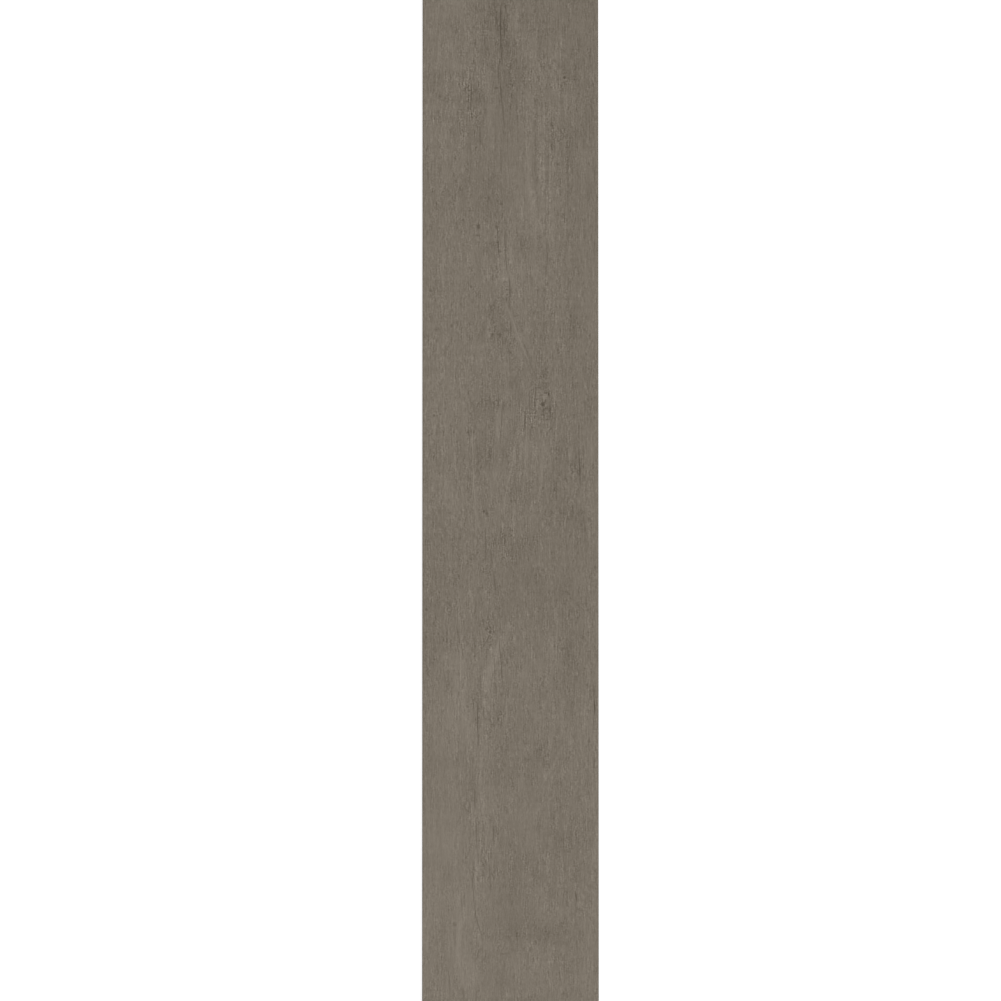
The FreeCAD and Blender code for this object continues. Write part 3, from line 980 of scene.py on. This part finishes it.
class Nodes:
    """Builds the node tree of a material or a world in few words."""

    def __init__(self, owner, shader="Principled BSDF"):
        self.owner = owner
        owner.use_nodes = True
        self.tree = owner.node_tree
        self.shader = self.tree.nodes[shader]

    def set_input(self, socket, value):
        if isinstance(value, bpy.types.NodeSocket):
            self.tree.links.new(value, socket)
        elif value is not None:
            socket.default_value = value

    def node(self, kind, *values, **settings):
        made = self.tree.nodes.new(kind)
        for name, value in settings.items():
            setattr(made, name, value)
        for socket, value in zip(made.inputs, values):
            self.set_input(socket, value)
        return made

    def math(self, operation, *values, clamp=False):
        return self.node("ShaderNodeMath", *values, operation=operation, use_clamp=clamp).outputs[0]

    def total(self, *values):
        whole = values[0]
        for value in values[1:]:
            whole = self.math("ADD", whole, value)
        return whole

    def field(self, name):
        """One of the mesh's vector fields, as its three parts."""
        vector = self.node("ShaderNodeAttribute", attribute_name=name).outputs["Vector"]
        return self.node("ShaderNodeSeparateXYZ", vector).outputs

    def number(self, name):
        """One of the mesh's plain fields."""
        return self.node("ShaderNodeAttribute", attribute_name=name).outputs["Fac"]

    def place(self):
        """Where the point lies in the tile's own frame, in millimetres."""
        vector = self.node("ShaderNodeTexCoord").outputs["Object"]
        scaled = self.node("ShaderNodeVectorMath", vector, None, None, 1 / MM, operation="SCALE").outputs[0]
        return self.node("ShaderNodeSeparateXYZ", scaled).outputs

    def noise(self, u, v, cell_u, cell_v, seed, levels=1.0, detail=0.0, roughness=0.5, w=0.0):
        """Noise round zero whose cells are that wide and long, in millimetres, and whose spread is that many levels."""
        a = self.math("MULTIPLY_ADD", u, 1 / cell_u, 17.3 * seed)
        b = self.math("MULTIPLY_ADD", v, 1 / cell_v, 9.7 * seed)
        vector = self.node("ShaderNodeCombineXYZ", a, b, w).outputs[0]
        made = self.node("ShaderNodeTexNoise", noise_dimensions="3D")
        self.set_input(made.inputs["Vector"], vector)
        made.inputs["Scale"].default_value = 1.0
        made.inputs["Detail"].default_value = detail
        made.inputs["Roughness"].default_value = roughness
        gain = levels / NOISE_SPREAD
        return self.math("MULTIPLY_ADD", made.outputs["Fac"], gain, -0.5 * gain)

    def ramp(self, value, stops):
        """A colour ramp through (place, colour) stops."""
        made = self.node("ShaderNodeValToRGB", value)
        elements = made.color_ramp.elements
        while len(elements) < len(stops):
            elements.new(0.5)
        for element, (place, shade) in zip(elements, stops):
            element.position = place
            element.color = shade
        return made.outputs["Color"]

    def step(self, value, start, finish, first=0.0, last=1.0):
        """Eases from first to last as the value goes from start to finish."""
        made = self.node("ShaderNodeMapRange", value, start, finish, first, last, interpolation_type="SMOOTHSTEP")
        return made.outputs[0]

    def bump(self, height, depth_mm):
        """A normal that the height, in millimetres times 1 / depth_mm, tilts."""
        made = self.node("ShaderNodeBump")
        made.inputs["Strength"].default_value = 1.0
        made.inputs["Distance"].default_value = depth_mm * MM
        self.set_input(made.inputs["Height"], height)
        return made.outputs["Normal"]


# How far Blender's noise usually lies from its middle, as a share of its range.
NOISE_SPREAD = 0.12


def line_tone(nodes, name, waver):
    """The levels that one channel's lines add: each keeps its own width, and wavers a little."""
    aside, levels, width = nodes.field(name)
    shifted = nodes.math("ADD", aside, waver)
    share = nodes.math("DIVIDE", shifted, nodes.math("MAXIMUM", width, 0.3))
    bell = nodes.math("EXPONENT", nodes.math("MULTIPLY", nodes.math("MULTIPLY", share, share), -1.0))
    return nodes.math("MULTIPLY", bell, levels)


def spot_tone(nodes, number, waver):
    """The levels that one channel's spots add: a dark core, with a pale ring round it."""
    aside, down, levels = nodes.field(f"spot_{number}")
    ring = nodes.number(f"spot_ring_{number}")
    far = nodes.math("SQRT", nodes.math("ADD", nodes.math("MULTIPLY", aside, aside), nodes.math("MULTIPLY", down, down)))
    far = nodes.math("ADD", far, waver)
    core = nodes.math("MULTIPLY", levels, nodes.step(far, 0.4, 1.5, 1.0, 0.0))
    off_ring = nodes.math("SUBTRACT", far, 2.1)
    ring_bell = nodes.math("EXPONENT", nodes.math("MULTIPLY", nodes.math("MULTIPLY", off_ring, off_ring), -5.0))
    return nodes.math("MULTIPLY_ADD", ring, ring_bell, core)


def face_material(mesh):
    """The printed and glazed face: grey-brown wood grain, matt, with fine relief."""
    nodes = Nodes(bpy.data.materials.new("wood_grain_glaze"))
    x, y, _ = nodes.place()
    fibre, ring, depth = nodes.field("grain")
    tone = nodes.number("tone")
    busy = nodes.step(nodes.noise(x, y, 8, 20, 1, 1.0, detail=1.0), -1.5, 1.5, 0.7, 1.35)
    busy = nodes.math("MULTIPLY_ADD", tone, -0.03, busy)
    busy = nodes.math("MULTIPLY", busy, nodes.number("busy"))
    specks = nodes.math("MULTIPLY", nodes.noise(x, y, 2.0, 1.8, 15, 2.0), busy)
    nicks = nodes.noise(fibre, y, 1.5, 3.2, 17, 1.8)
    ticks = nodes.noise(fibre, y, 1.25, 6.5, 18, 2.4)
    fibres = nodes.noise(fibre, y, 1.35, 13, 2, 2.9, detail=1.0, roughness=0.6)
    threads = nodes.noise(fibre, y, 1.9, 36, 3, 2.3, detail=1.0)
    fine = nodes.math("MULTIPLY", nodes.total(specks, nicks, ticks, fibres, threads), busy)
    strands = nodes.noise(fibre, y, 4.0, 70, 4, 0.8, detail=1.0)
    streaks = nodes.noise(fibre, y, 11, 220, 5, 0.5, detail=1.0)
    rings = nodes.noise(ring, y, 3.6, 260, 16, 0.9, detail=1.0)
    mottle = nodes.noise(x, y, 16, 13, 7, 0.5, detail=2.0)
    clouds = nodes.noise(x, y, 60, 80, 8, 0.3, detail=1.0)
    cross = nodes.noise(x, y, 70, 7, 9, 0.5, detail=1.0)
    pores = nodes.noise(fibre, y, 1.5, 9, 10, 1.0)
    pores = nodes.math("MULTIPLY", nodes.step(pores, 1.4, 2.6, 0.0, -10.0), busy)
    waver = nodes.noise(x, y, 6, 14, 11, 0.16)
    edge_waver = nodes.noise(x, y, 1.6, 1.8, 12, 0.12, detail=1.0)
    marks = []
    for name in mesh.attributes.keys():
        if name.startswith("line_"):
            marks.append(line_tone(nodes, name, waver))
    for name in mesh.attributes.keys():
        if name.startswith("spot_ring_"):
            marks.append(spot_tone(nodes, name.removeprefix("spot_ring_"), edge_waver))
    broken = nodes.step(nodes.noise(x, y, 3, 14, 13, 1.0), -1.6, 0.8, 0.85, 1.08)
    drawn = nodes.math("MULTIPLY", nodes.total(*marks), broken)
    # The fine grain gives way where a mark is drawn, so that a crack stays whole.
    room = nodes.step(nodes.math("ABSOLUTE", drawn), 2.0, 13.0, 1.0, 0.35)
    fine = nodes.math("MULTIPLY", fine, room)
    # Painted shade: the face is 10 levels darker for each millimetre that its relief lies deeper.
    painted_hollow_shade = nodes.math("MULTIPLY_ADD", depth, -10.0, 1.3)
    levels = nodes.total(fine, strands, streaks, rings, mottle, clouds, cross, pores, painted_hollow_shade, tone, drawn)
    share = nodes.math("MULTIPLY_ADD", levels, 0.5 / TONE_REACH, 0.5)
    stops = [(place, colour(FACE_COLOUR, (place * 2 - 1) * TONE_REACH)) for place in (0.0, 0.25, 0.5, 0.75, 1.0)]
    nodes.set_input(nodes.shader.inputs["Base Color"], nodes.ramp(share, stops))
    rough = nodes.math("MULTIPLY_ADD", levels, -0.004, 0.6)
    nodes.set_input(nodes.shader.inputs["Roughness"], nodes.math("MINIMUM", nodes.math("MAXIMUM", rough, 0.45), 0.8))
    nodes.shader.inputs["Specular IOR Level"].default_value = 0.35
    tiny = nodes.noise(x, y, 0.5, 0.7, 14, 0.006, detail=1.0)
    height = nodes.math("ADD", nodes.math("MULTIPLY", levels, 0.0035), tiny)
    nodes.set_input(nodes.shader.inputs["Normal"], nodes.bump(height, 1.0))
    return nodes.owner


def body_material():
    """The bare fired body: on the ground edges and bevel, with painted shade on the bevel, and pressed, with pale kiln
    dust on its ribs, on the back.
    """
    nodes = Nodes(bpy.data.materials.new("fired_body"))
    x, y, z = nodes.place()
    normal = nodes.node("ShaderNodeSeparateXYZ", nodes.node("ShaderNodeNewGeometry").outputs["Normal"]).outputs
    grains = nodes.noise(x, y, 0.9, 0.9, 21, 3.2, detail=2.0, roughness=0.7, w=nodes.math("MULTIPLY", z, 0.9))
    clouds = nodes.noise(x, y, 34, 60, 22, 2.6, detail=3.0)
    under = nodes.step(normal[2], -0.5, -0.95, 0.0, 1.0)
    ribs = nodes.math("MULTIPLY", under, nodes.step(z, 0.25, 0.02, 0.0, 1.0))
    dust_noise = nodes.noise(x, y, 7, 9, 23, 1.0, detail=4.0, roughness=0.7)
    dust = nodes.math("MULTIPLY", ribs, nodes.step(dust_noise, -1.8, 1.4, 10.0, 36.0))
    film = nodes.math("MULTIPLY", under, 8.0)
    # Painted shade: faces tilted upwards, which are the bevel's, are 16 levels darker, drawing a dark line along the
    # edges.
    bevel = nodes.math("MULTIPLY", nodes.step(normal[2], 0.3, 0.6, 0.0, 1.0), -16.0)
    grinding = nodes.noise(nodes.math("ADD", x, y), z, 40, 0.16, 24, 2.0, detail=1.0)
    grinding = nodes.math("MULTIPLY", grinding, nodes.step(nodes.math("ABSOLUTE", normal[2]), 0.9, 0.5, 0.0, 1.0))
    levels = nodes.total(grains, clouds, dust, film, bevel, grinding)
    share = nodes.math("MULTIPLY_ADD", levels, 0.5 / BODY_REACH, 0.5)
    stops = [(place, colour(BODY_COLOUR, (place * 2 - 1) * BODY_REACH)) for place in (0.0, 0.25, 0.5, 0.75, 1.0)]
    nodes.set_input(nodes.shader.inputs["Base Color"], nodes.ramp(share, stops))
    rough = nodes.math("MULTIPLY_ADD", grains, 0.01, 0.78)
    nodes.set_input(nodes.shader.inputs["Roughness"], nodes.math("MINIMUM", rough, 0.95))
    nodes.shader.inputs["Specular IOR Level"].default_value = 0.3
    height = nodes.total(
        nodes.math("MULTIPLY", grains, 0.006), nodes.math("MULTIPLY", grinding, 0.003), nodes.math("MULTIPLY", dust, 0.001)
    )
    nodes.set_input(nodes.shader.inputs["Normal"], nodes.bump(height, 1.0))
    return nodes.owner


# Brightness, in levels of 255, that the body may depart from its mean colour.
BODY_REACH = 60.0

# The studio: how bright the even light from all round is, and the lamp that leans in from the side.
SKY_STRENGTH = 0.68
SUN_STRENGTH = 1.2
SUN_SIZE = math.radians(40)
SUN_TILT = math.radians(35)
SUN_TURN = math.radians(120)
FLOOR_HALF = 12.0
FLOOR_ALBEDO = 0.75
FLOOR_GLOW = 0.62
FLOOR_GAP = 0.00005
BACK_CLEARANCE = 0.004


def seen_plainly(nodes):
    """1 for the camera's rays, and for those that gloss or glass passes on."""
    rays = nodes.node("ShaderNodeLightPath").outputs
    either = nodes.math("MAXIMUM", rays["Is Camera Ray"], rays["Is Glossy Ray"])
    return nodes.math("MAXIMUM", either, rays["Is Transmission Ray"])


def make_floor():
    """A plain pale floor that keeps the tile's shadow, and is white to the camera."""
    mesh = bpy.data.meshes.new("floor")
    corners = [(-FLOOR_HALF, -FLOOR_HALF), (FLOOR_HALF, -FLOOR_HALF), (FLOOR_HALF, FLOOR_HALF), (-FLOOR_HALF, FLOOR_HALF)]
    mesh.from_pydata([(a, b, low.z - FLOOR_GAP) for a, b in corners], [], [(0, 1, 2, 3)])
    floor = bpy.data.objects.new("floor", mesh)
    bpy.context.scene.collection.objects.link(floor)
    nodes = Nodes(bpy.data.materials.new("pale_floor"))
    nodes.shader.inputs["Base Color"].default_value = (FLOOR_ALBEDO,) * 3 + (1.0,)
    nodes.shader.inputs["Roughness"].default_value = 1.0
    nodes.shader.inputs["Specular IOR Level"].default_value = 0.0
    nodes.shader.inputs["Emission Color"].default_value = (1.0, 1.0, 1.0, 1.0)
    glow = nodes.math("MULTIPLY", seen_plainly(nodes), FLOOR_GLOW)
    nodes.set_input(nodes.shader.inputs["Emission Strength"], glow)
    # From below, and to light on its way to the tile's back, the floor isn't there.
    from_below = nodes.node("ShaderNodeNewGeometry").outputs["Backfacing"]
    near = nodes.math("LESS_THAN", nodes.node("ShaderNodeLightPath").outputs["Ray Length"], BACK_CLEARANCE)
    clear = nodes.node("ShaderNodeBsdfTransparent").outputs[0]
    absent = nodes.math("MAXIMUM", from_below, near)
    mix = nodes.node("ShaderNodeMixShader", absent, nodes.shader.outputs[0], clear)
    nodes.set_input(nodes.tree.nodes["Material Output"].inputs["Surface"], mix.outputs[0])
    mesh.materials.append(nodes.owner)


def make_world():
    """Even light from all round, which shows as white."""
    nodes = Nodes(bpy.data.worlds.new("studio"), "Background")
    nodes.shader.inputs["Color"].default_value = (1.0, 1.0, 1.0, 1.0)
    strength = nodes.math("MULTIPLY_ADD", seen_plainly(nodes), 1.0 - SKY_STRENGTH, SKY_STRENGTH)
    nodes.set_input(nodes.shader.inputs["Strength"], strength)
    bpy.context.scene.world = nodes.owner


def make_sun():
    """One soft lamp, high and to one side, which draws out the relief."""
    light = bpy.data.lights.new("soft_lamp", "SUN")
    light.energy = SUN_STRENGTH
    light.angle = SUN_SIZE
    lamp = bpy.data.objects.new("soft_lamp", light)
    lamp.rotation_euler = (SUN_TILT, 0.0, SUN_TURN)
    bpy.context.scene.collection.objects.link(lamp)


def make_camera():
    """Over the plank, looking down as the photograph does, with the plank's ends past the frame."""
    data = bpy.data.cameras.new("camera")
    data.lens = LENS
    data.sensor_width = SENSOR
    data.clip_start = 0.05
    data.clip_end = 50.0
    camera = bpy.data.objects.new("camera", data)
    distance = CAMERA_DISTANCE * MM
    aim_x = across(PHOTO_MIDDLE) * MM
    camera.location = (
        aim_x,
        -distance * math.sin(CAMERA_LEAN),
        high.z + distance * math.cos(CAMERA_LEAN),
    )
    camera.rotation_euler = (CAMERA_LEAN, 0.0, 0.0)
    bpy.context.scene.collection.objects.link(camera)
    bpy.context.scene.camera = camera


def main():
    bpy.context.scene.view_settings.view_transform = "Standard"
    tile = make_tile()
    tile.data.materials.append(face_material(tile.data))
    tile.data.materials.append(body_material())
    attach(tile, "root")
    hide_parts(NODE)
    make_floor()
    make_world()
    make_sun()
    make_camera()


main()
